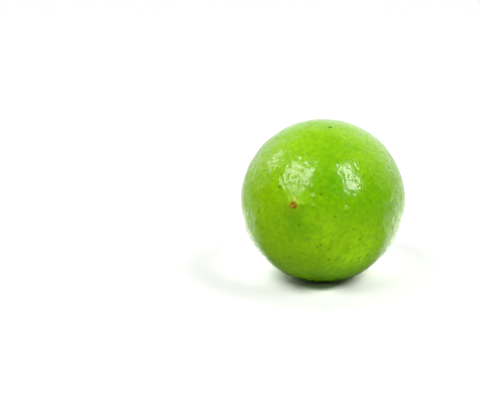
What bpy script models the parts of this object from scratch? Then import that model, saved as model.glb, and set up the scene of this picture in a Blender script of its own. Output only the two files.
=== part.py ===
"""A whole lime as picked, lying on its side on a small flat spot. Metres, +Z up.

The fruit is one solid. Its body is an oval a little out of round, with gently uneven skin. The blossom
end has a low nipple inside a shallow furrow, with the round scar of the style at its tip. The stem end
has a puckered dimple, and the button of the stem has grown onto it. The fruit's long axis lies along Y,
with the blossom end towards -Y and tilted up a little.
"""

import math

import bmesh
import bpy
from mathutils import Matrix, Vector, noise

# Body of the fruit
LENGTH = 0.0595
WIDTH = 0.0520
BLOSSOM_FULLNESS = 0.0005
OUT_OF_ROUND = 0.00015
OUT_OF_ROUND_TURN = math.radians(69)

# Uneven skin: broad swells, and smaller ones on them
SWELL_SPACING = 0.0170
SWELL_HEIGHT = 0.00040
SWELL_START = Vector((-0.147, -0.127, -0.162))
RIPPLE_SPACING = 0.0062
RIPPLE_HEIGHT = 0.00012

# Blossom end
NIPPLE_HEIGHT = 0.00115
NIPPLE_RADIUS = 0.0033
FURROW_DEPTH = 0.00024
FURROW_RADIUS = 0.0052
FURROW_WIDTH = 0.0016
SCAR_DEPTH = 0.00040
SCAR_RADIUS = 0.0012

# Stem end
DIMPLE_DEPTH = 0.0019
DIMPLE_RADIUS = 0.0052
PUCKER_COUNT = 6
PUCKER_DEPTH = 0.00030
PUCKER_RADIUS = 0.0060

# Stem button: a lobed disc with the stub of the stem on it
LOBES = 5
BUTTON_RADIUS = 0.0030
LOBE_REACH = 0.00045
BUTTON_HEIGHT = 0.0009
BUTTON_ROOT = 0.0012
BUTTON_EDGE = 0.00025
STUB_RADIUS = 0.00125
STUB_HEIGHT = 0.0008
STUB_EDGE = 0.00020

# How it lies
BLOSSOM_TILT = math.radians(12)
FLAT_DEPTH = 0.00050

# Fineness of the mesh. Rings crowd towards both ends, where the small forms are, and a patch under
# the fruit is finer still, so that the flat spot has a round rim
SEGMENTS = 72
RINGS = 54
RING_CROWDING = 0.70
PATCH_REACH = math.radians(20)
PATCH_CUTS = 2
BUTTON_SEGMENTS = 40
EDGE_STEPS = 2

SKIN_GREEN = (0.165, 0.450, 0.012, 1.0)
SKIN_ROUGHNESS = 0.32


def crowded(polar):
    """The polar angle moved towards the nearer end of the fruit, where the rings stand closer."""
    return polar - RING_CROWDING * math.sin(2 * polar) / 2


def bell(distance, radius):
    """1 at no distance, falling smoothly to nothing past the radius."""
    return math.exp(-((distance / radius) ** 2))


def blossom_relief(off_axis):
    """How far the blossom end stands out past the plain oval, this far from the axis."""
    nipple = NIPPLE_HEIGHT * bell(off_axis, NIPPLE_RADIUS)
    furrow = FURROW_DEPTH * bell(off_axis - FURROW_RADIUS, FURROW_WIDTH)
    scar = SCAR_DEPTH * bell(off_axis, SCAR_RADIUS) ** 2
    return nipple - furrow - scar


def stem_relief(off_axis, azimuth):
    """How far the stem end is drawn in from the plain oval, with folds that run out from the button."""
    dimple = DIMPLE_DEPTH * bell(off_axis, DIMPLE_RADIUS)
    wander = 0.6 * math.sin(2 * azimuth + 0.7)
    fold = 0.5 + 0.5 * math.cos(PUCKER_COUNT * azimuth + wander)
    reach = (off_axis / PUCKER_RADIUS) ** 2 * math.exp(1 - (off_axis / PUCKER_RADIUS) ** 2)
    return dimple + PUCKER_DEPTH * fold * reach


def skin_point(polar, azimuth):
    """A point of the skin. The fruit's own +Z runs through the blossom end, where polar is 0."""
    along = math.cos(polar)
    off_axis = WIDTH / 2 * math.sin(polar)
    height = (LENGTH / 2 - BLOSSOM_FULLNESS * along) * along
    oval = OUT_OF_ROUND * math.cos(2 * (azimuth - OUT_OF_ROUND_TURN)) * math.sin(polar) ** 2
    point = Vector((
        (off_axis + oval) * math.cos(azimuth),
        (off_axis + oval) * math.sin(azimuth),
        height,
    ))
    swell = SWELL_HEIGHT * noise.noise((point + SWELL_START) / SWELL_SPACING)
    ripple = RIPPLE_HEIGHT * noise.noise(point / RIPPLE_SPACING)
    point += point.normalized() * (swell + ripple)
    if along > 0:
        point.z += blossom_relief(off_axis)
    else:
        point.z += stem_relief(off_axis, azimuth)
    return point


def add_object(name, mesh_builder, collection):
    """An object in the collection, with the mesh that mesh_builder makes."""
    mesh = bpy.data.meshes.new(name)
    shape = bmesh.new()
    mesh_builder(shape)
    shape.to_mesh(mesh)
    shape.free()
    made = bpy.data.objects.new(name, mesh)
    collection.objects.link(made)
    return made


def lying_turn():
    """The turn that takes the fruit's own +Z, its blossom end, towards -Y and a little up."""
    return Matrix.Rotation(math.pi / 2 - BLOSSOM_TILT, 4, "X")


def build_fruit(shape):
    """The body of the fruit, from a sphere whose points move onto the skin."""
    bmesh.ops.create_uvsphere(shape, u_segments=SEGMENTS, v_segments=RINGS, radius=1)
    for vert in shape.verts:
        polar = crowded(vert.co.angle(Vector((0, 0, 1))))
        azimuth = math.atan2(vert.co.y, vert.co.x)
        vert.co = Vector((
            math.sin(polar) * math.cos(azimuth),
            math.sin(polar) * math.sin(azimuth),
            math.cos(polar),
        ))
    down = lying_turn().inverted() @ Vector((0, 0, -1))
    patch = [
        edge for edge in shape.edges
        if all(vert.co.angle(down) < PATCH_REACH for vert in edge.verts)
    ]
    bmesh.ops.subdivide_edges(shape, edges=patch, cuts=PATCH_CUTS, use_grid_fill=True)
    for vert in shape.verts:
        vert.co = skin_point(
            vert.co.angle(Vector((0, 0, 1))),
            math.atan2(vert.co.y, vert.co.x),
        )


def add_drum(shape, radius, bottom, top, edge):
    """A short drum along Z whose outer end, at the lower of the two heights, has a rounded edge."""
    made = bmesh.ops.create_cone(
        shape,
        cap_ends=True,
        segments=BUTTON_SEGMENTS,
        radius1=radius,
        radius2=radius,
        depth=top - bottom,
        matrix=Matrix.Translation((0, 0, (top + bottom) / 2)),
    )["verts"]
    outer = [vert for vert in made if vert.co.z < (top + bottom) / 2]
    rim = [e for e in shape.edges if all(vert in outer for vert in e.verts)]
    bmesh.ops.bevel(
        shape,
        geom=rim,
        offset=edge,
        segments=EDGE_STEPS,
        profile=0.5,
        affect="EDGES",
    )


def build_button_disc(shape):
    """The calyx: a disc whose rim swells into lobes, rooted in the dimple."""
    floor = skin_point(math.pi, 0).z
    add_drum(shape, BUTTON_RADIUS, floor - BUTTON_HEIGHT, floor + BUTTON_ROOT, BUTTON_EDGE)
    for vert in shape.verts:
        off_axis = math.hypot(vert.co.x, vert.co.y)
        lobe = LOBE_REACH * math.cos(LOBES * math.atan2(vert.co.y, vert.co.x))
        stretch = 1 + lobe * off_axis / BUTTON_RADIUS**2
        vert.co.x *= stretch
        vert.co.y *= stretch


def build_stub(shape):
    """What is left of the stem, standing on the calyx."""
    floor = skin_point(math.pi, 0).z
    outer = floor - BUTTON_HEIGHT - STUB_HEIGHT
    add_drum(shape, STUB_RADIUS, outer, floor + BUTTON_ROOT / 2, STUB_EDGE)


def fuse(body, pieces):
    """Joins the pieces of a collection to the body as one closed solid, and removes them."""
    union = body.modifiers.new("Fused", "BOOLEAN")
    union.operation = "UNION"
    union.operand_type = "COLLECTION"
    union.collection = pieces
    union.solver = "EXACT"
    graph = bpy.context.evaluated_depsgraph_get()
    fused = bpy.data.meshes.new_from_object(body.evaluated_get(graph))
    body.modifiers.clear()
    body.data = fused
    for piece in list(pieces.objects):
        bpy.data.objects.remove(piece)
    bpy.data.collections.remove(pieces)


def lay_down(body):
    """Lays the fruit on its side, cuts its flat spot and stands that spot on the origin's level."""
    shape = bmesh.new()
    shape.from_mesh(body.data)
    bmesh.ops.transform(shape, matrix=lying_turn(), verts=shape.verts)
    level = min(vert.co.z for vert in shape.verts) + FLAT_DEPTH
    cut = bmesh.ops.bisect_plane(
        shape,
        geom=shape.verts[:] + shape.edges[:] + shape.faces[:],
        plane_co=(0, 0, level),
        plane_no=(0, 0, -1),
        clear_outer=True,
    )
    rim = [piece for piece in cut["geom_cut"] if isinstance(piece, bmesh.types.BMEdge)]
    bmesh.ops.contextual_create(shape, geom=rim)
    xs = [vert.co.x for vert in shape.verts]
    ys = [vert.co.y for vert in shape.verts]
    middle = Vector(((min(xs) + max(xs)) / 2, (min(ys) + max(ys)) / 2, level))
    bmesh.ops.translate(shape, vec=-middle, verts=shape.verts)
    bmesh.ops.recalc_face_normals(shape, faces=shape.faces)
    shape.to_mesh(body.data)
    shape.free()


def paint(body):
    """The waxy green of ripe peel, smooth all over but for the rim of the flat spot."""
    peel = bpy.data.materials.new("peel")
    peel.use_nodes = True
    shader = peel.node_tree.nodes["Principled BSDF"]
    shader.inputs["Base Color"].default_value = SKIN_GREEN
    shader.inputs["Roughness"].default_value = SKIN_ROUGHNESS
    shader.inputs["Metallic"].default_value = 0.0
    body.data.materials.clear()
    body.data.materials.append(peel)
    body.data.shade_smooth()
    body.data.set_sharp_from_angle(angle=math.radians(40))


def main():
    for old in list(bpy.data.objects):
        bpy.data.objects.remove(old)
    whole = bpy.data.collections.new("Lime")
    button = bpy.data.collections.new("Stem button")
    bpy.context.scene.collection.children.link(whole)
    bpy.context.scene.collection.children.link(button)
    lime = add_object("lime", build_fruit, whole)
    add_object("button_disc", build_button_disc, button)
    add_object("button_stub", build_stub, button)
    fuse(lime, button)
    lay_down(lime)
    paint(lime)


main()
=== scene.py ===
import math
import random

import bmesh
import bpy
from mathutils import Matrix, Quaternion, Vector, kdtree, noise
from mathutils.bvhtree import BVHTree


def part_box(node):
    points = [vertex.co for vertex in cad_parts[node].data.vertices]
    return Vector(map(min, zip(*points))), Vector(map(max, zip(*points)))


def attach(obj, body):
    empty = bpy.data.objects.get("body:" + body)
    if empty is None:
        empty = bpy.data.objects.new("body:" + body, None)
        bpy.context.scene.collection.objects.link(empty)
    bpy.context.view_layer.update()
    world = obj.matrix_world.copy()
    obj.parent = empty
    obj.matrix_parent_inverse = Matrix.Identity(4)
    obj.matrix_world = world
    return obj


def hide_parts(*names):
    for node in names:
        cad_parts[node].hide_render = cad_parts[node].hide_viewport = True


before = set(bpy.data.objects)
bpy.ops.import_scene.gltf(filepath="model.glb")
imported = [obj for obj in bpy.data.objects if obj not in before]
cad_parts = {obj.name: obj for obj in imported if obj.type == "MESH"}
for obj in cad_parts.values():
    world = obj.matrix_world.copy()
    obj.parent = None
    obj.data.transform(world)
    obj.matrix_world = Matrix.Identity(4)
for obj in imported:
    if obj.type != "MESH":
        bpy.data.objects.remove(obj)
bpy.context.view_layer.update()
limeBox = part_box("lime")
print("frame loaded, the lime is", [round(1000 * side, 1) for side in limeBox[1] - limeBox[0]], "mm")

mm = 0.001


# Camera, placed so that the lime lands where the photograph has it

photoView = {
    "frame": (480, 412),        # the photograph's size in pixels
    "limeAt": (322.6, 199.8),   # the pixel of the lime's middle
    "azimuth": 21.3,            # degrees round from the blossom end, towards +X
    "elevation": 15.4,
    "distance": 426.5 * mm,     # camera to the lime's middle
    "lens": 100.0,
    "sensor": 36.0,
}


def cameraAxes():
    azimuth = math.radians(photoView["azimuth"])
    elevation = math.radians(photoView["elevation"])
    back = Vector((
        math.sin(azimuth) * math.cos(elevation),
        -math.cos(azimuth) * math.cos(elevation),
        math.sin(elevation),
    ))
    across = Vector((math.cos(azimuth), math.sin(azimuth), 0))
    return across, back.cross(across), back


def sightLine(pixel):
    # unit vector from the camera through a pixel of the photograph
    across, up, back = cameraAxes()
    width, height = photoView["frame"]
    focal = photoView["lens"] / photoView["sensor"] * width
    right = (pixel[0] - width / 2) / focal
    down = (pixel[1] - height / 2) / focal
    return (across * right - up * down - back).normalized()


def cameraPlace():
    middle = (limeBox[0] + limeBox[1]) / 2
    return middle - sightLine(photoView["limeAt"]) * photoView["distance"]


def addCamera():
    across, up, back = cameraAxes()
    camera = bpy.data.objects.new("camera", bpy.data.cameras.new("camera"))
    camera.data.lens = photoView["lens"]
    camera.data.sensor_width = photoView["sensor"]
    camera.data.clip_start = 0.01
    camera.data.clip_end = 20
    turn = Matrix((across, up, back)).transposed().to_4x4()
    camera.matrix_world = Matrix.Translation(cameraPlace()) @ turn
    bpy.context.scene.collection.objects.link(camera)
    bpy.context.scene.camera = camera


addCamera()
print("camera placed")


# The fruit's form. Its own +Z runs through the blossom end

limeForm = {
    "length": 59.5 * mm,
    "width": 52.0 * mm,
    "blossomFullness": 0.5 * mm,
    "outOfRound": 0.15 * mm,
    "outOfRoundTurn": math.radians(69),
    "swellSpacing": 17.0 * mm,
    "swellHeight": 0.40 * mm,
    "swellStart": Vector((-0.147, -0.127, -0.162)),
    "rippleSpacing": 6.2 * mm,
    "rippleHeight": 0.12 * mm,
    "blossomTilt": math.radians(12),
    "flatDepth": 0.50 * mm,
    "pointsToLayIt": 20000,     # points of the skin that settle how the fruit lies
}

blossomEnd = {
    "nippleHeight": 1.15 * mm,
    "nippleRadius": 3.3 * mm,
    "furrowDepth": 0.24 * mm,
    "furrowRadius": 5.2 * mm,
    "furrowWidth": 1.6 * mm,
    "scarDepth": 0.40 * mm,
    "scarRadius": 1.2 * mm,
}

stemEnd = {
    "dimpleDepth": 1.9 * mm,
    "dimpleRadius": 5.2 * mm,
    "puckerCount": 6,
    "puckerDepth": 0.30 * mm,
    "puckerRadius": 6.0 * mm,
    "puckerWander": 0.6,        # radians by which the folds stray from even spacing
    "puckerTurn": 0.7,
}

bellReach = 2.5                 # radii, past which a bell is next to nothing


def bell(distance, radius):
    return math.exp(-((distance / radius) ** 2))


def blossomRelief(offAxis):
    nipple = blossomEnd["nippleHeight"] * bell(offAxis, blossomEnd["nippleRadius"])
    furrow = blossomEnd["furrowDepth"] * bell(
        offAxis - blossomEnd["furrowRadius"], blossomEnd["furrowWidth"]
    )
    scar = blossomEnd["scarDepth"] * bell(offAxis, blossomEnd["scarRadius"]) ** 2
    return nipple - furrow - scar


def stemRelief(offAxis, azimuth):
    dimple = stemEnd["dimpleDepth"] * bell(offAxis, stemEnd["dimpleRadius"])
    wander = stemEnd["puckerWander"] * math.sin(2 * azimuth + stemEnd["puckerTurn"])
    fold = 0.5 + 0.5 * math.cos(stemEnd["puckerCount"] * azimuth + wander)
    reach = (offAxis / stemEnd["puckerRadius"]) ** 2
    return dimple + stemEnd["puckerDepth"] * fold * reach * math.exp(1 - reach)


def skinPoint(toward):
    # the point of the skin in this direction from the fruit's middle
    azimuth = math.atan2(toward.y, toward.x)
    along = toward.z
    across = math.hypot(toward.x, toward.y)
    offAxis = limeForm["width"] / 2 * across
    oval = limeForm["outOfRound"] * across**2 * math.cos(2 * (azimuth - limeForm["outOfRoundTurn"]))
    height = (limeForm["length"] / 2 - limeForm["blossomFullness"] * along) * along
    point = Vector(((offAxis + oval) * math.cos(azimuth), (offAxis + oval) * math.sin(azimuth), height))
    swell = noise.noise((point + limeForm["swellStart"]) / limeForm["swellSpacing"])
    ripple = noise.noise(point / limeForm["rippleSpacing"])
    point += point.normalized() * (limeForm["swellHeight"] * swell + limeForm["rippleHeight"] * ripple)
    point.z += blossomRelief(offAxis) if along > 0 else stemRelief(offAxis, azimuth)
    return point


def evenDirections(count):
    # directions spread evenly over a sphere
    golden = math.pi * (3 - math.sqrt(5))
    for i in range(count):
        z = 1 - (2 * i + 1) / count
        around = math.sqrt(1 - z * z)
        yield Vector((around * math.cos(golden * i), around * math.sin(golden * i), z))


def lyingPlace():
    # lays the fruit on its side, its flat spot on the ground and its box centred, as the CAD solid is
    turn = Matrix.Rotation(math.pi / 2 - limeForm["blossomTilt"], 4, "X")
    points = [turn @ skinPoint(toward) for toward in evenDirections(limeForm["pointsToLayIt"])]
    lowest = [min(p[axis] for p in points) for axis in range(3)]
    highest = [max(p[axis] for p in points) for axis in range(3)]
    shift = Vector((
        -(lowest[0] + highest[0]) / 2,
        -(lowest[1] + highest[1]) / 2,
        -(lowest[2] + limeForm["flatDepth"]),
    ))
    # the stem button reaches past the skin, so the CAD solid's own box settles the place along Y
    shift.y = limeBox[0].y - lowest[1]
    return Matrix.Translation(shift) @ turn


limePlace = lyingPlace()
print("fruit laid down")


# Materials: small helpers, then one effect shared by every finish

def addNode(tree, kind, **settings):
    node = tree.nodes.new(kind)
    for name, value in settings.items():
        setattr(node, name, value)
    return node


def layColour(tree, under, over, mask):
    # over on top of under where the mask is 1; 6, 7 and 2 are the node's colour sockets
    mix = addNode(tree, "ShaderNodeMix", data_type="RGBA")
    tree.links.new(mask, mix.inputs["Factor"])
    tree.links.new(under, mix.inputs[6])
    mix.inputs[7].default_value = (*over, 1)
    return mix.outputs[2]


def startColour(tree, colour):
    node = addNode(tree, "ShaderNodeRGB")
    node.outputs[0].default_value = (*colour, 1)
    return node.outputs[0]


def give(tree, socket, value):
    # a socket's value, as a number or from another socket
    if isinstance(value, (int, float)):
        socket.default_value = value
    else:
        tree.links.new(value, socket)


def calculate(tree, operation, *values):
    node = addNode(tree, "ShaderNodeMath", operation=operation)
    for value, socket in zip(values, node.inputs):
        give(tree, socket, value)
    return node.outputs[0]


def paintedMask(tree, name):
    return addNode(tree, "ShaderNodeAttribute", attribute_name=name).outputs["Fac"]


def squash(tree, place, amount):
    # squeezes a place along Z, so that a texture there comes out upright
    squeeze = addNode(tree, "ShaderNodeVectorMath", operation="MULTIPLY")
    amounts = addNode(tree, "ShaderNodeCombineXYZ")
    amounts.inputs["X"].default_value = 1
    amounts.inputs["Y"].default_value = 1
    give(tree, amounts.inputs["Z"], amount)
    tree.links.new(place, squeeze.inputs[0])
    tree.links.new(amounts.outputs[0], squeeze.inputs[1])
    return squeeze.outputs[0]


def makeUnevenTone():
    # noise stretched between two levels into a mask from 0 to 1
    group = bpy.data.node_groups.new("unevenTone", "ShaderNodeTree")
    for name, value in (("Scale", 100.0), ("Detail", 2.0), ("Low", 0.4), ("High", 0.6), ("Upright", 1.0)):
        socket = group.interface.new_socket(name, in_out="INPUT", socket_type="NodeSocketFloat")
        socket.default_value = value
    group.interface.new_socket("Mask", in_out="OUTPUT", socket_type="NodeSocketFloat")
    given = addNode(group, "NodeGroupInput").outputs
    result = addNode(group, "NodeGroupOutput")
    place = addNode(group, "ShaderNodeTexCoord").outputs["Object"]
    grain = addNode(group, "ShaderNodeTexNoise")
    spread = addNode(group, "ShaderNodeMapRange", interpolation_type="SMOOTHSTEP")
    group.links.new(squash(group, place, given["Upright"]), grain.inputs["Vector"])
    group.links.new(given["Scale"], grain.inputs["Scale"])
    group.links.new(given["Detail"], grain.inputs["Detail"])
    group.links.new(grain.outputs["Fac"], spread.inputs["Value"])
    group.links.new(given["Low"], spread.inputs["From Min"])
    group.links.new(given["High"], spread.inputs["From Max"])
    group.links.new(spread.outputs["Result"], result.inputs["Mask"])
    return group


unevenTone = makeUnevenTone()


def tone(tree, size, low, high, detail=2.0, upright=1.0):
    # a patch of the mask is about this size across, and taller by the inverse of upright
    node = addNode(tree, "ShaderNodeGroup", node_tree=unevenTone)
    node.inputs["Scale"].default_value = 0.6 / size
    node.inputs["Detail"].default_value = detail
    node.inputs["Low"].default_value = low
    node.inputs["High"].default_value = high
    node.inputs["Upright"].default_value = upright
    return node.outputs["Mask"]


def shareOf(tree, mask, share):
    return calculate(tree, "MULTIPLY", mask, share)


def addBump(tree, height, depth, strength=1.0, normal=None):
    bump = addNode(tree, "ShaderNodeBump")
    bump.inputs["Strength"].default_value = strength
    bump.inputs["Distance"].default_value = depth
    tree.links.new(height, bump.inputs["Height"])
    if normal:
        tree.links.new(normal, bump.inputs["Normal"])
    return bump.outputs["Normal"]


def newMaterial(name):
    material = bpy.data.materials.new(name)
    material.use_nodes = True
    return material, material.node_tree, material.node_tree.nodes["Principled BSDF"]


# Peel: fine mesh with oil glands, marks and masks for its colours

peelSkin = {
    "cutsOfEachSide": 119,
    "scarPatch": 3.4 * mm,
    "scarPatchCuts": 3,
    "stemPatch": 7.0 * mm,
    "stemPatchCuts": 1,
    "glandSpacing": 1.12 * mm,
    "glandRadius": 0.42 * mm,
    "glandDepth": 0.042 * mm,
    "glandTries": 60000,
    "glandStrengths": (0.55, 1.25),     # shares of the depth, from the faintest gland to the deepest
    "pebbleSpacing": 1.05 * mm,
    "pebbleHeight": 0.040 * mm,
    "lumpSpacing": 3.0 * mm,
    "lumpHeight": 0.032 * mm,
    "markRagged": 0.35,         # how uneven the edges of the marks are, and in lumps of what size
    "markLump": 0.5 * mm,
    "seed": 7,
}

# Marks of the photograph, by mask: pixel, radius on the peel and strength
marks = {
    "speck": [
        ((330.2, 127.1), 0.55 * mm, 1.0),
        ((309.7, 162.5), 0.36 * mm, 0.6),
        ((279.7, 186.5), 0.40 * mm, 0.8),
        ((320.8, 194.4), 0.34 * mm, 0.8),
        ((335.5, 216.5), 0.32 * mm, 0.8),
        ((298.9, 225.6), 0.36 * mm, 0.7),
        ((328.6, 259.5), 0.34 * mm, 0.7),
        ((289.3, 257.1), 0.34 * mm, 0.6),
    ],
    "brown": [
        ((289.8, 206.8), 0.40 * mm, 0.5),
    ],
    "yellow": [
        ((294.8, 199.4), 0.50 * mm, 0.8),
        ((297.6, 202.8), 0.42 * mm, 0.7),
        ((290.4, 201.5), 0.36 * mm, 0.5),
    ],
    "olive": [
        ((321.0, 244.6), 0.65 * mm, 0.60),
        ((317.6, 247.2), 0.50 * mm, 0.55),
        ((331.8, 241.5), 0.50 * mm, 0.40),
        ((347.9, 248.5), 0.40 * mm, 0.40),
        ((328.6, 249.9), 0.36 * mm, 0.35),
        ((317.0, 218.0), 1.10 * mm, 0.30),
        ((353.9, 229.2), 0.60 * mm, 0.30),
    ],
}

# Broad patches of colour, by mask: pixel, radius and strength. Both masks are partly the peel's own tone and
# partly painted light and shade
broadPatches = {
    # painted shade, partly a deeper green: darker in the middle, on the right, at the bottom by the ground
    # and beside the scar
    "deepAndPaintedShade": [
        ((335, 186), 10.5 * mm, 0.80),
        ((370, 200), 11.0 * mm, 0.65),
        ((326, 279), 8.0 * mm, 0.7),
        ((300, 216), 6.5 * mm, 0.4),
    ],
    # painted light, partly a yellower cheek: lighter on the lower right and the lower middle
    "cheekAndPaintedLight": [
        ((353, 257), 9.5 * mm, 1.0),
        ((322, 241), 8.0 * mm, 0.55),
    ],
}

# Low warts of the peel that catch the light: pixel, radius and height
warts = [
    ((345.6, 209.8), 0.85 * mm, 0.50 * mm),
    ((302.0, 204.0), 0.75 * mm, 0.34 * mm),
    ((307.5, 203.5), 0.80 * mm, 0.36 * mm),
    ((313.5, 206.0), 0.75 * mm, 0.38 * mm),
    ((314.5, 197.5), 0.90 * mm, 0.22 * mm),
]

# More specks at random, on the side that the camera doesn't see
farSpecks = {
    "count": 60,
    "smallest": 0.30 * mm,
    "largest": 0.50 * mm,
    "strengths": (0.3, 0.8),
    "from": -8 * mm,            # how far along Y they begin
    "seed": 11,
}

# Azimuth 0 is the right and 90 the top of the blossom end, seen along its axis
blossomMarks = {
    "scarRadius": 0.90 * mm,
    "scarSoftness": 0.55 * mm,
    "scarHang": 0.25,               # share by which the scar reaches further down than up
    "rimRadius": 1.15 * mm,         # dark rim of the scar, on one side only
    "rimWidth": 0.34 * mm,
    "rimAzimuth": math.radians(-48),
    "rimReach": 0.9,                # radians of it on either side
    "pitRadius": 0.42 * mm,
    "haloRadius": 2.0 * mm,
    "smoothRadius": 1.1 * mm,       # the peel has hardly any glands this near the scar
    "smoothShare": 0.9,
    "ridges": 13,                   # low ridges that run down the nipple
    "ridgeHeight": 0.030 * mm,
    "ridgeRadius": 2.3 * mm,
    "ridgeBend": 0.35,              # radians by which they bend, and how often
    "ridgeBends": 25,
    "streakHeight": 0.080 * mm,     # and uneven streaks that run out from it
    "streakRadius": 8.5 * mm,
    "streaksRound": 7,              # the higher, the narrower the streaks
    "streaksAlong": 0.30,           # the higher, the shorter
    "dullRadius": 5.0 * mm,         # the gloss is weaker this near the scar
    "raggedScar": 0.30,             # how uneven the edges of the marks are
    "raggedRim": 0.2,
    "raggedHalo": 0.9,
    "raggedCoarse": 30,             # the higher, the finer the unevenness, for two layers of it
    "raggedFine": 70,
}

peelLook = {
    "green": (0.214, 0.430, 0.0020),
    # painted shade, partly a deeper green of the peel
    "deepAndPaintedShadeGreen": (0.080, 0.315, 0.0008),
    # painted light, partly a yellower cheek of the peel
    "cheekAndPaintedLightGreen": (0.365, 0.735, 0.0045),
    "paleGreen": (0.225, 0.460, 0.0030),
    "deepGreen": (0.080, 0.270, 0.0008),
    "glandGreen": (0.085, 0.285, 0.0010),
    "haloYellow": (0.320, 0.400, 0.0120),
    "scarBrown": (0.330, 0.190, 0.0130),
    "scarRimRed": (0.150, 0.030, 0.0010),
    "pitOlive": (0.150, 0.100, 0.0010),
    "markYellow": (0.480, 0.520, 0.0400),
    "markOlive": (0.110, 0.170, 0.0008),
    "speckDark": (0.020, 0.045, 0.0010),
    "markBrown": (0.150, 0.130, 0.0050),
    "deepTone": {"size": 9 * mm, "low": 0.50, "high": 0.72},
    "deepShare": 0.40,
    "paleTone": {"size": 1.1 * mm, "low": 0.45, "high": 0.70},
    "paleShare": 0.55,
    "spotTone": {"size": 1.1 * mm, "low": 0.56, "high": 0.70},
    "spotShare": 0.24,
    "mottleTone": {"size": 0.9 * mm, "low": 0.35, "high": 0.65, "detail": 3.0},
    "mottleShare": 0.15,
    "mottleLeast": 0.92,
    "glandShare": 0.13,
    "haloShare": 0.48,
    "stemShare": 0.5,
    "roughness": 0.125,
    "roughTone": {"size": 3 * mm, "low": 0.35, "high": 0.70},
    "roughShare": 0.08,
    "roughWhereDull": 0.16,
    "specular": 0.09,
    "refraction": 1.30,         # low, so that the gloss stays clear of the green
    "waxRoughness": 0.105,
    "waxTone": {"size": 0.60 * mm, "low": 0.38, "high": 0.55, "detail": 3.0, "upright": 0.45},
    "waxShare": 0.70,
    "waxLeast": 0.03,
    "waxInPores": 0.35,
    "waxPastPores": 0.75,
    "waxWornDull": 1.35,
    "waxWornScar": 0.50,
    "poreSpacing": 0.90 * mm,
    "poreReach": 0.42,          # share of the spacing
    "poreDepth": 0.050 * mm,
    "poreUpright": 0.50,        # pores and wrinkles are taller than wide
    "wrinkleTone": {"size": 0.85 * mm, "low": 0.20, "high": 0.80, "detail": 1.0, "upright": 0.50},
    "wrinkleDepth": 0.082 * mm,
    "grainTone": {"size": 0.45 * mm, "low": 0.25, "high": 0.75, "detail": 3.0},
    "grainDepth": 0.03 * mm,
    "grainStrength": 0.5,
}


def roundedCube():
    shape = bmesh.new()
    bmesh.ops.create_cube(shape, size=2)
    bmesh.ops.subdivide_edges(
        shape, edges=shape.edges[:], cuts=peelSkin["cutsOfEachSide"], use_grid_fill=True
    )
    for vert in shape.verts:
        vert.co = Vector([math.tan(side * math.pi / 4) for side in vert.co]).normalized()
    return shape


def offAxisOf(toward):
    return limeForm["width"] / 2 * math.hypot(toward.x, toward.y)


def refineEnd(shape, side, reach, cuts):
    near = [
        edge for edge in shape.edges
        if all(vert.co.z * side > 0 and offAxisOf(vert.co) < reach for vert in edge.verts)
    ]
    bmesh.ops.subdivide_edges(shape, edges=near, cuts=cuts, use_grid_fill=True)
    for vert in shape.verts:
        vert.co.normalize()


def scatterGlands():
    # oil glands at random, never closer together than their spacing
    dice = random.Random(peelSkin["seed"])
    spacing = peelSkin["glandSpacing"]
    cells = {}
    glands = []
    for attempt in range(peelSkin["glandTries"]):
        toward = Vector([dice.gauss(0, 1) for axis in range(3)]).normalized()
        point = Vector((
            toward.x * limeForm["width"] / 2,
            toward.y * limeForm["width"] / 2,
            toward.z * limeForm["length"] / 2,
        ))
        cell = tuple(math.floor(side / spacing) for side in point)
        near = [
            other
            for dx in (-1, 0, 1)
            for dy in (-1, 0, 1)
            for dz in (-1, 0, 1)
            for other in cells.get((cell[0] + dx, cell[1] + dy, cell[2] + dz), ())
        ]
        if any((other - point).length < spacing for other in near):
            continue
        cells.setdefault(cell, []).append(point)
        glands.append((limePlace @ skinPoint(toward), dice.uniform(*peelSkin["glandStrengths"])))
    return glands


def treeOf(points):
    tree = kdtree.KDTree(len(points))
    for i, point in enumerate(points):
        tree.insert(point, i)
    tree.balance()
    return tree


def glandDips(point, tree, glands):
    # how deep the skin dips here, and how near the middle of a gland this is
    depth = 0
    nearest = 0
    for where, i, distance in tree.find_n(point, 3):
        dip = glands[i][1] * bell(distance, peelSkin["glandRadius"])
        depth += dip
        nearest = max(nearest, dip)
    return depth, min(1, nearest)


def findMarks(shape, places):
    # where the photograph's marks lie on the peel
    skin = BVHTree.FromBMesh(shape)
    found = []
    for pixel, radius, strength in places:
        place = skin.ray_cast(cameraPlace(), sightLine(pixel))[0]
        found.append((place, radius, strength))
    return found


def scatterSpecks():
    dice = random.Random(farSpecks["seed"])
    specks = []
    for i in range(farSpecks["count"]):
        toward = Vector([dice.gauss(0, 1) for axis in range(3)]).normalized()
        radius = dice.uniform(farSpecks["smallest"], farSpecks["largest"])
        place = limePlace @ skinPoint(toward)
        if place.y > farSpecks["from"]:
            specks.append((place, radius, dice.uniform(*farSpecks["strengths"])))
    return specks


def paintMarks(shape, name, places):
    layer = shape.verts.layers.float[name]
    tree = treeOf([vert.co for vert in shape.verts])
    verts = shape.verts
    verts.ensure_lookup_table()
    for place, radius, strength in places:
        for where, i, distance in tree.find_range(place, 2 * radius):
            uneven = noise.noise(where / peelSkin["markLump"])
            ragged = radius * (1 + peelSkin["markRagged"] * uneven)
            amount = strength * max(0, min(1, 1.5 - distance / ragged))
            verts[i][layer] = max(verts[i][layer], amount)


def raiseWarts(shape):
    tree = treeOf([vert.co for vert in shape.verts])
    verts = shape.verts
    verts.ensure_lookup_table()
    for place, radius, height in findMarks(shape, warts):
        for where, i, distance in tree.find_range(place, bellReach * radius):
            verts[i].co += verts[i].normal * height * bell(distance, radius)


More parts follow.
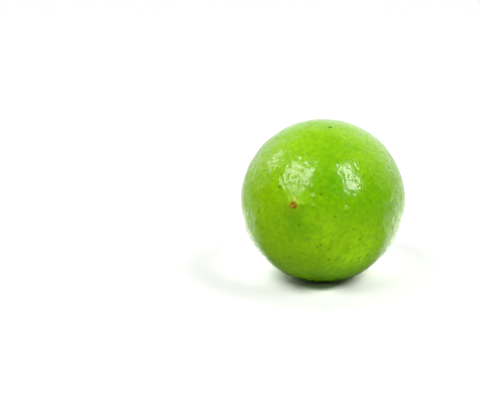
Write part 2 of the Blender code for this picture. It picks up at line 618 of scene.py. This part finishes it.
def blossomMasks(toward):
    # scar, its dark rim, its pit, the pale halo and the smooth skin round them
    azimuth = math.atan2(toward.y, toward.x)
    offAxis = offAxisOf(toward)
    if toward.z < 0 or offAxis > bellReach * blossomMarks["dullRadius"]:
        return {}
    coarse = noise.noise(toward * blossomMarks["raggedCoarse"])
    ragged = coarse + 0.5 * noise.noise(toward * blossomMarks["raggedFine"])
    reach = 1 - blossomMarks["scarHang"] * math.sin(azimuth) + blossomMarks["raggedScar"] * ragged
    edge = (blossomMarks["scarRadius"] * reach - offAxis) / blossomMarks["scarSoftness"]
    fromRim = math.remainder(azimuth - blossomMarks["rimAzimuth"], 2 * math.pi)
    onRimSide = bell(fromRim, blossomMarks["rimReach"])
    rimPlace = offAxis - blossomMarks["rimRadius"] * (1 + blossomMarks["raggedRim"] * ragged)
    halo = bell(offAxis, blossomMarks["haloRadius"]) * (1 + blossomMarks["raggedHalo"] * ragged)
    return {
        "scar": max(0, min(1, 0.5 + edge)),
        "scarRim": onRimSide * bell(rimPlace, blossomMarks["rimWidth"]),
        "pit": bell(offAxis, blossomMarks["pitRadius"]),
        "halo": max(0, min(1, halo)),
        "smooth": bell(offAxis, blossomMarks["smoothRadius"]),
        "dull": bell(offAxis, blossomMarks["dullRadius"]),
    }


def hump(distance, radius):
    # 0 at no distance, 1 at the radius, falling away past it
    return (distance / radius) ** 2 * math.exp(1 - (distance / radius) ** 2)


def nippleRidges(toward):
    offAxis = offAxisOf(toward)
    if toward.z < 0:
        return 0
    azimuth = math.atan2(toward.y, toward.x)
    bent = azimuth + blossomMarks["ridgeBend"] * noise.noise(toward * blossomMarks["ridgeBends"])
    ridge = math.cos(blossomMarks["ridges"] * bent) * hump(offAxis, blossomMarks["ridgeRadius"])
    spread = blossomMarks["streaksRound"]
    along = blossomMarks["streaksAlong"] * offAxis / mm
    around = Vector((spread * math.cos(azimuth), spread * math.sin(azimuth), along))
    streak = noise.noise(around) * hump(offAxis, blossomMarks["streakRadius"])
    return blossomMarks["ridgeHeight"] * ridge + blossomMarks["streakHeight"] * streak


def buildPeel():
    shape = roundedCube()
    refineEnd(shape, 1, peelSkin["scarPatch"], peelSkin["scarPatchCuts"])
    refineEnd(shape, -1, peelSkin["stemPatch"], peelSkin["stemPatchCuts"])
    masks = {
        name: shape.verts.layers.float.new(name)
        for name in (
            "gland", "speck", "brown", "scar", "scarRim", "pit", "halo", "smooth", "dull", "stem",
            "deepAndPaintedShade", "cheekAndPaintedLight", "yellow", "olive",
        )
    }
    for vert in shape.verts:
        toward = vert.co.copy()
        for name, amount in blossomMasks(toward).items():
            vert[masks[name]] = amount
        if toward.z < 0:
            vert[masks["stem"]] = bell(offAxisOf(toward), stemEnd["puckerRadius"])
        vert.co = limePlace @ (skinPoint(toward) + toward * nippleRidges(toward))
    shape.normal_update()
    print("peel shaped,", len(shape.faces), "faces")

    # lays the broad patches of painted shade and painted light into their masks
    for name, patches in broadPatches.items():
        for middle, radius, strength in findMarks(shape, patches):
            for vert in shape.verts:
                amount = strength * bell((vert.co - middle).length, radius)
                vert[masks[name]] = max(vert[masks[name]], amount)
    found = {name: findMarks(shape, places) for name, places in marks.items()}
    raiseWarts(shape)
    glands = scatterGlands()
    glandTree = treeOf([gland[0] for gland in glands])
    print(len(glands), "oil glands")
    normals = [vert.normal.copy() for vert in shape.verts]
    for vert, normal in zip(shape.verts, normals):
        plain = 1 - max(vert[masks["scar"]], blossomMarks["smoothShare"] * vert[masks["smooth"]])
        depth, closeness = glandDips(vert.co, glandTree, glands)
        pebble = noise.noise(vert.co / peelSkin["pebbleSpacing"])
        lump = noise.noise(vert.co / peelSkin["lumpSpacing"])
        relief = peelSkin["pebbleHeight"] * pebble + peelSkin["lumpHeight"] * lump
        vert[masks["gland"]] = closeness * plain
        vert.co += normal * plain * (relief - peelSkin["glandDepth"] * depth)
    found["speck"] += scatterSpecks()
    for name, places in found.items():
        paintMarks(shape, name, places)
    for vert in shape.verts:
        vert.co.z = max(0, vert.co.z)
    mesh = bpy.data.meshes.new("limePeel")
    shape.to_mesh(mesh)
    shape.free()
    mesh.shade_smooth()
    return mesh


def addPores(tree):
    # 0 in the middle of a pore, 1 on the skin between them
    place = addNode(tree, "ShaderNodeTexCoord").outputs["Object"]
    cells = addNode(tree, "ShaderNodeTexVoronoi")
    cells.inputs["Scale"].default_value = 1 / peelLook["poreSpacing"]
    tree.links.new(squash(tree, place, peelLook["poreUpright"]), cells.inputs["Vector"])
    dip = addNode(tree, "ShaderNodeMapRange", interpolation_type="SMOOTHSTEP")
    dip.inputs["From Max"].default_value = peelLook["poreReach"]
    tree.links.new(cells.outputs["Distance"], dip.inputs["Value"])
    return dip.outputs["Result"]


def colourPeel(tree):
    deep = shareOf(tree, tone(tree, **peelLook["deepTone"]), peelLook["deepShare"])
    pale = shareOf(tree, tone(tree, **peelLook["paleTone"]), peelLook["paleShare"])
    spots = shareOf(tree, tone(tree, **peelLook["spotTone"]), peelLook["spotShare"])
    colour = startColour(tree, peelLook["green"])
    for name, mask in (
        # painted shade, partly a deeper green
        ("deepAndPaintedShadeGreen", paintedMask(tree, "deepAndPaintedShade")),
        # painted light, partly a yellower cheek
        ("cheekAndPaintedLightGreen", paintedMask(tree, "cheekAndPaintedLight")),
        ("deepGreen", deep),
        ("paleGreen", pale),
        ("deepGreen", spots),
    ):
        colour = layColour(tree, colour, peelLook[name], mask)

    mottled = tone(tree, **peelLook["mottleTone"])
    mottled = calculate(tree, "MULTIPLY_ADD", mottled, peelLook["mottleShare"], peelLook["mottleLeast"])
    mottle = addNode(tree, "ShaderNodeHueSaturation")
    tree.links.new(mottled, mottle.inputs["Value"])
    tree.links.new(colour, mottle.inputs["Color"])
    colour = mottle.outputs["Color"]

    for name, mask in (
        ("glandGreen", shareOf(tree, paintedMask(tree, "gland"), peelLook["glandShare"])),
        ("haloYellow", shareOf(tree, paintedMask(tree, "halo"), peelLook["haloShare"])),
        ("markYellow", paintedMask(tree, "yellow")),
        ("scarBrown", paintedMask(tree, "scar")),
        ("scarRimRed", paintedMask(tree, "scarRim")),
        ("pitOlive", paintedMask(tree, "pit")),
        ("paleGreen", shareOf(tree, paintedMask(tree, "stem"), peelLook["stemShare"])),
        ("markOlive", paintedMask(tree, "olive")),
        ("markBrown", paintedMask(tree, "brown")),
        ("speckDark", paintedMask(tree, "speck")),
    ):
        colour = layColour(tree, colour, peelLook[name], mask)
    return colour


def roughenPeel(tree):
    dull = shareOf(tree, paintedMask(tree, "dull"), peelLook["roughWhereDull"])
    worn = shareOf(tree, tone(tree, **peelLook["roughTone"]), peelLook["roughShare"])
    return calculate(tree, "ADD", calculate(tree, "ADD", dull, worn), peelLook["roughness"])


def waxPeel(tree, pore):
    # a thin coat, worn off in patches, in the pores and at the blossom end
    wax = tone(tree, **peelLook["waxTone"])
    wax = calculate(tree, "MULTIPLY_ADD", wax, peelLook["waxShare"], peelLook["waxLeast"])
    pastPores = calculate(tree, "MULTIPLY_ADD", pore, peelLook["waxPastPores"], peelLook["waxInPores"])
    dull = shareOf(tree, paintedMask(tree, "dull"), peelLook["waxWornDull"])
    scar = shareOf(tree, paintedMask(tree, "scar"), peelLook["waxWornScar"])
    left = calculate(tree, "SUBTRACT", 1, calculate(tree, "ADD", dull, scar))
    left = calculate(tree, "MAXIMUM", left, 0)
    return shareOf(tree, shareOf(tree, wax, pastPores), left)


def paintPeel():
    material, tree, shader = newMaterial("peel")
    pore = addPores(tree)
    tree.links.new(colourPeel(tree), shader.inputs["Base Color"])
    tree.links.new(roughenPeel(tree), shader.inputs["Roughness"])
    tree.links.new(waxPeel(tree, pore), shader.inputs["Coat Weight"])
    shader.inputs["Coat Roughness"].default_value = peelLook["waxRoughness"]
    shader.inputs["Coat IOR"].default_value = peelLook["refraction"]
    shader.inputs["IOR"].default_value = peelLook["refraction"]
    shader.inputs["Specular IOR Level"].default_value = peelLook["specular"]

    # wrinkles and pores of the peel, and the finest grain between them
    normal = addBump(tree, tone(tree, **peelLook["wrinkleTone"]), peelLook["wrinkleDepth"])
    normal = addBump(tree, pore, peelLook["poreDepth"], normal=normal)
    grain = tone(tree, **peelLook["grainTone"])
    normal = addBump(tree, grain, peelLook["grainDepth"], peelLook["grainStrength"], normal)
    tree.links.new(normal, shader.inputs["Normal"])
    return material


peelMesh = buildPeel()
peelMesh.materials.append(paintPeel())
limePeel = bpy.data.objects.new("limePeel", peelMesh)
bpy.context.scene.collection.objects.link(limePeel)
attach(limePeel, "root")
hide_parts("lime")
print("peel done")


# Stem button: a lobed calyx with the stub of the stem

stemButton = {
    "discRadius": 3.0 * mm,
    "discHeight": 0.9 * mm,
    "lobes": 5,
    "lobeReach": 0.45 * mm,
    "stubRadius": 1.25 * mm,
    "stubHeight": 0.8 * mm,
    "stubPaint": 0.95,          # how far the cut wood's colour reaches, as a share of the stub's radius
    "rootDepth": 0.7 * mm,
    "crinkleSpacing": 0.5 * mm,
    "crinkleHeight": 0.10 * mm,
    "ridgesOfEachLobe": 4,
    "ridgeHeight": 0.05 * mm,
    "ridgeStart": 2 * mm,       # ridges reach their full height this far out
    "lobeDroop": 0.10 * mm,     # how far the skin between the lobes lies below them
    "steps": 160,
}


def buttonOutline():
    # radius and height above the dimple's floor, from the middle of the stub out and down to the root
    disc, stub = stemButton["discRadius"], stemButton["stubRadius"]
    top = stemButton["discHeight"] + stemButton["stubHeight"]
    ledge = stemButton["discHeight"]
    return [
        (0.0, top - 0.30 * mm),
        (0.3 * stub, top - 0.28 * mm),
        (0.6 * stub, top - 0.12 * mm),
        (0.8 * stub, top - 0.02 * mm),
        (0.93 * stub, top - 0.04 * mm),
        (stub, top - 0.16 * mm),
        (1.02 * stub, top - 0.40 * mm),
        (1.06 * stub, ledge + 0.12 * mm),
        (1.22 * stub, ledge - 0.02 * mm),
        (0.60 * disc, ledge - 0.10 * mm),
        (0.75 * disc, ledge - 0.06 * mm),
        (0.88 * disc, ledge - 0.04 * mm),
        (0.96 * disc, ledge - 0.12 * mm),
        (disc, ledge - 0.30 * mm),
        (0.99 * disc, ledge - 0.50 * mm),
        (0.94 * disc, 0.15 * mm),
        (0.92 * disc, -0.5 * stemButton["rootDepth"]),
        (0.70 * disc, -stemButton["rootDepth"]),
        (0.0, -stemButton["rootDepth"]),
    ]


def buildButton():
    shape = bmesh.new()
    outline = [shape.verts.new((radius, 0, height)) for radius, height in buttonOutline()]
    edges = [shape.edges.new(pair) for pair in zip(outline, outline[1:])]
    bmesh.ops.spin(
        shape,
        geom=outline + edges,
        cent=(0, 0, 0),
        axis=(0, 0, 1),
        angle=2 * math.pi,
        steps=stemButton["steps"],
        use_merge=True,
    )
    bmesh.ops.remove_doubles(shape, verts=shape.verts, dist=0.001 * mm)
    stubMask = shape.verts.layers.float.new("stub")
    floor = skinPoint(Vector((0, 0, -1))).z
    for vert in shape.verts:
        azimuth = math.atan2(vert.co.y, vert.co.x)
        offAxis = math.hypot(vert.co.x, vert.co.y)
        vert[stubMask] = bell(offAxis, stemButton["stubPaint"] * stemButton["stubRadius"])
        lobe = math.cos(stemButton["lobes"] * azimuth)
        stretch = 1 + stemButton["lobeReach"] * lobe * offAxis / stemButton["discRadius"] ** 2
        crinkle = noise.noise(vert.co / stemButton["crinkleSpacing"]) * stemButton["crinkleHeight"]
        ridge = stemButton["ridgeHeight"] * min(1, offAxis / stemButton["ridgeStart"])
        ridge *= math.cos(stemButton["ridgesOfEachLobe"] * stemButton["lobes"] * azimuth)
        low = stemButton["lobeDroop"] * (1 - lobe) * min(1, offAxis / stemButton["discRadius"])
        vert.co = Vector((
            vert.co.x * stretch,
            -vert.co.y * stretch,
            floor - (vert.co.z + crinkle + ridge - low),
        ))
    bmesh.ops.transform(shape, matrix=limePlace, verts=shape.verts)
    bmesh.ops.recalc_face_normals(shape, faces=shape.faces)
    mesh = bpy.data.meshes.new("stemButton")
    shape.to_mesh(mesh)
    shape.free()
    mesh.shade_smooth()
    return mesh


buttonLook = {
    "driedGreen": (0.150, 0.170, 0.035),
    "corkBrown": (0.200, 0.120, 0.045),
    "cutWood": (0.420, 0.310, 0.140),
    "darkCrack": (0.040, 0.030, 0.012),
    "corkTone": {"size": 1.2 * mm, "low": 0.40, "high": 0.62},
    "stubShare": 0.85,
    "crackTone": {"size": 0.35 * mm, "low": 0.55, "high": 0.70, "detail": 4.0},
    "crackShare": 0.7,
    "roughness": 0.68,
    "roughInCracks": 0.2,
    "grainTone": {"size": 0.30 * mm, "low": 0.30, "high": 0.70, "detail": 4.0},
    "grainDepth": 0.08 * mm,
    "grainStrength": 0.8,
}


def paintButton():
    material, tree, shader = newMaterial("stemButton")
    cracks = shareOf(tree, tone(tree, **buttonLook["crackTone"]), buttonLook["crackShare"])
    colour = startColour(tree, buttonLook["driedGreen"])
    for name, mask in (
        ("corkBrown", tone(tree, **buttonLook["corkTone"])),
        ("cutWood", shareOf(tree, paintedMask(tree, "stub"), buttonLook["stubShare"])),
        ("darkCrack", cracks),
    ):
        colour = layColour(tree, colour, buttonLook[name], mask)
    tree.links.new(colour, shader.inputs["Base Color"])
    rough = shareOf(tree, cracks, buttonLook["roughInCracks"])
    rough = calculate(tree, "ADD", rough, buttonLook["roughness"])
    tree.links.new(rough, shader.inputs["Roughness"])
    grain = tone(tree, **buttonLook["grainTone"])
    normal = addBump(tree, grain, buttonLook["grainDepth"], buttonLook["grainStrength"])
    tree.links.new(normal, shader.inputs["Normal"])
    return material


buttonMesh = buildButton()
buttonMesh.materials.append(paintButton())
stemButtonPiece = bpy.data.objects.new("stemButton", buttonMesh)
bpy.context.scene.collection.objects.link(stemButtonPiece)
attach(stemButtonPiece, "root")
print("stem button done")


# Pale floor, white surround and soft boxes

studio = {
    "floorRadius": 0.7,
    "floorSides": 96,
    "floorDrop": 0.02 * mm,         # keeps the floor just clear of the flat spot
    "floorWhite": 0.56,
    "boxDistance": 0.9,
    "shineColour": (1.0, 0.78, 0.90),   # keeps the shine from turning green with the peel under it
}

# Where a fade starts and ends: the place, and the value there. These are shares of the floor's white as the
# camera sees it, by how far away a spot of the floor lies:
# painted light, so the floor shows brighter than its lighting makes it, most round the lime's shadow, in a
# spot before the lime and far off
paintedFloorLight = {
    "spotBefore": 11 * mm,          # a spot of painted light before the lime, and fades round it
    "spot": ((3 * mm, 1.80), (8 * mm, 1)),
    "shadowBehind": 10 * mm,        # the middle of the shadow, this far behind the lime's middle; painted light round it lifts the shadow
    "shadow": ((8 * mm, 2.75), (41 * mm, 1.28)),
    "far": ((30 * mm, 1), (120 * mm, 1.42)),
}

# The same shares as the peel reflects them, a painted reflection: the floor shows brighter behind the lime
# and close by, darker towards the camera and far off. The first runs towards the camera
paintedFloorReflection = {
    "towardsCamera": ((-9 * mm, 2.40), (6 * mm, 0.18)),
    "close": ((16 * mm, 1.58), (36 * mm, 1)),
    "far": ((60 * mm, 1), (130 * mm, 0.55)),
}

# Radiance of the surround by direction: 1 is straight up, or straight towards the camera
surround = {
    "upwards": ((0.2, 0.09), (0.9, 1.90)),      # lights the lime, less from the camera's side
    "cameraSide": ((0.0, 1.0), (0.7, 0.15)),
    "mirroredBehind": ((-0.8, 1.15), (-0.3, 0.05)),     # what the peel reflects
    "mirroredBeside": ((0.1, 1.0), (0.6, 0.4)),
}

# toward is in the camera's own axes: right, up and back; spread is in degrees, wide and tall. Some of
# the boxes light the peel, and the others only shine in it
softBoxes = {
    "leftKey": {
        "toward": (-0.42, 0.62, 0.66), "spread": (36, 22), "radiance": 8.3, "lights": True, "turn": 0,
    },
    "rightKey": {
        "toward": (0.60, 0.58, 0.55), "spread": (32, 22), "radiance": 8.6, "lights": True, "turn": 0,
    },
    "leftShine": {
        "toward": (-0.49, 0.59, 0.64), "spread": (43, 44), "radiance": 20, "lights": False, "turn": 12,
    },
    "rightShine": {
        "toward": (0.645, 0.49, 0.585), "spread": (18, 36), "radiance": 27, "lights": False, "turn": -22,
    },
    "sideShine": {
        "toward": (-0.71, 0.64, -0.20), "spread": (18, 20), "radiance": 8, "lights": False, "turn": 0,
    },
    "rearLeftShine": {
        "toward": (-0.69, 0.62, -0.37), "spread": (50, 50), "radiance": 0.95, "lights": False, "turn": 0,
    },
    "rearRightShine": {
        "toward": (0.70, 0.63, -0.34), "spread": (55, 55), "radiance": 0.85, "lights": False, "turn": 0,
    },
}


def smoothFade(tree, value, start, end):
    fade = addNode(tree, "ShaderNodeMapRange", interpolation_type="SMOOTHSTEP")
    fade.inputs["From Min"].default_value, fade.inputs["To Min"].default_value = start
    fade.inputs["From Max"].default_value, fade.inputs["To Max"].default_value = end
    tree.links.new(value, fade.inputs["Value"])
    return fade.outputs["Result"]


def fadeAlong(tree, direction, axis, start, end):
    # a value that changes with how far a direction or a place lies along an axis, from start to end
    reach = addNode(tree, "ShaderNodeVectorMath", operation="DOT_PRODUCT")
    reach.inputs[1].default_value = axis
    tree.links.new(direction, reach.inputs[0])
    return smoothFade(tree, reach.outputs["Value"], start, end)


def fadeAround(tree, place, middle, start, end):
    # a value that changes with how far a place lies from the middle
    reach = addNode(tree, "ShaderNodeVectorMath", operation="DISTANCE")
    reach.inputs[1].default_value = middle
    tree.links.new(place, reach.inputs[0])
    return smoothFade(tree, reach.outputs["Value"], start, end)


def choose(tree, ray, otherwise, value):
    # the value for this kind of ray, and otherwise for the others
    path = addNode(tree, "ShaderNodeLightPath")
    pick = addNode(tree, "ShaderNodeMix")
    tree.links.new(path.outputs[ray], pick.inputs["Factor"])
    tree.links.new(otherwise, pick.inputs["A"])
    tree.links.new(value, pick.inputs["B"])
    return pick.outputs[0]


def paintFloor():
    material = bpy.data.materials.new("floor")
    material.use_nodes = True
    tree = material.node_tree
    tree.nodes.clear()
    place = addNode(tree, "ShaderNodeTexCoord").outputs["Object"]
    back = cameraAxes()[2]
    front = Vector((back.x, back.y, 0)).normalized()
    middle = Vector((0, 0, 0))
    # painted reflection: the floor's brightness as the peel reflects it, set by place
    paintedReflection = fadeAlong(tree, place, back, *paintedFloorReflection["towardsCamera"])
    for name in ("close", "far"):
        paintedReflection = shareOf(tree, paintedReflection, fadeAround(tree, place, middle, *paintedFloorReflection[name]))
    # painted light on the floor, for the camera only
    paintedLight = fadeAround(tree, place, front * paintedFloorLight["spotBefore"], *paintedFloorLight["spot"])
    shadow = fadeAround(tree, place, -front * paintedFloorLight["shadowBehind"], *paintedFloorLight["shadow"])
    paintedLight = shareOf(tree, paintedLight, shadow)
    paintedLight = shareOf(tree, paintedLight, fadeAround(tree, place, middle, *paintedFloorLight["far"]))
    plain = addNode(tree, "ShaderNodeValue").outputs[0]
    plain.default_value = 1
    share = choose(tree, "Is Camera Ray", plain, paintedLight)
    share = choose(tree, "Is Glossy Ray", share, paintedReflection)
    white = addNode(tree, "ShaderNodeCombineColor")
    for channel in white.inputs:
        tree.links.new(shareOf(tree, share, studio["floorWhite"]), channel)
    matte = addNode(tree, "ShaderNodeBsdfDiffuse")
    end = addNode(tree, "ShaderNodeOutputMaterial")
    tree.links.new(white.outputs[0], matte.inputs["Color"])
    tree.links.new(matte.outputs[0], end.inputs["Surface"])
    return material


def addFloor():
    shape = bmesh.new()
    bmesh.ops.create_circle(shape, cap_ends=True, segments=studio["floorSides"], radius=studio["floorRadius"])
    bmesh.ops.translate(shape, vec=(0, 0, -studio["floorDrop"]), verts=shape.verts)
    mesh = bpy.data.meshes.new("floor")
    shape.to_mesh(mesh)
    shape.free()
    mesh.materials.append(paintFloor())
    floor = bpy.data.objects.new("floor", mesh)
    bpy.context.scene.collection.objects.link(floor)


def addSurround():
    back = cameraAxes()[2]
    world = bpy.data.worlds.new("surround")
    bpy.context.scene.world = world
    world.use_nodes = True
    tree = world.node_tree
    tree.nodes.clear()
    direction = addNode(tree, "ShaderNodeTexCoord").outputs["Generated"]
    height = fadeAlong(tree, direction, (0, 0, 1), *surround["upwards"])
    side = fadeAlong(tree, direction, back, *surround["cameraSide"])
    behind = fadeAlong(tree, direction, back, *surround["mirroredBehind"])
    beside = fadeAlong(tree, direction, back, *surround["mirroredBeside"])
    lights = shareOf(tree, height, side)
    shows = shareOf(tree, behind, beside)
    path = addNode(tree, "ShaderNodeLightPath")
    sky = None
    for strength, seenBy in ((lights, None), (shows, "Is Glossy Ray"), (1.0, "Is Camera Ray")):
        background = addNode(tree, "ShaderNodeBackground")
        background.inputs["Color"].default_value = (1, 1, 1, 1)
        give(tree, background.inputs["Strength"], strength)
        if seenBy is None:
            sky = background.outputs[0]
            continue
        choice = addNode(tree, "ShaderNodeMixShader")
        tree.links.new(path.outputs[seenBy], choice.inputs[0])
        tree.links.new(sky, choice.inputs[1])
        tree.links.new(background.outputs[0], choice.inputs[2])
        sky = choice.outputs[0]
    end = addNode(tree, "ShaderNodeOutputWorld")
    tree.links.new(sky, end.inputs["Surface"])


def addSoftBoxes():
    across, up, back = cameraAxes()
    middle = (limeBox[0] + limeBox[1]) / 2
    for name, box in softBoxes.items():
        right, over, behind = box["toward"]
        toward = (across * right + up * over + back * behind).normalized()
        wide, tall = [2 * studio["boxDistance"] * math.tan(math.radians(a / 2)) for a in box["spread"]]
        light = bpy.data.lights.new(name, "AREA")
        light.shape = "RECTANGLE"
        light.size, light.size_y = wide, tall
        light.energy = box["radiance"] * math.pi * wide * tall
        if not box["lights"]:
            light.color = studio["shineColour"]
        lamp = bpy.data.objects.new(name, light)
        lamp.location = middle + toward * studio["boxDistance"]
        turn = Quaternion((0, 0, 1), math.radians(box["turn"]))
        lamp.rotation_euler = (toward.to_track_quat("Z", "Y") @ turn).to_euler()
        lamp.visible_camera = False
        lamp.visible_diffuse = box["lights"]
        lamp.visible_glossy = not box["lights"]
        bpy.context.scene.collection.objects.link(lamp)


addFloor()
addSurround()
addSoftBoxes()
bpy.context.scene.view_settings.view_transform = "Standard"
print("studio done")
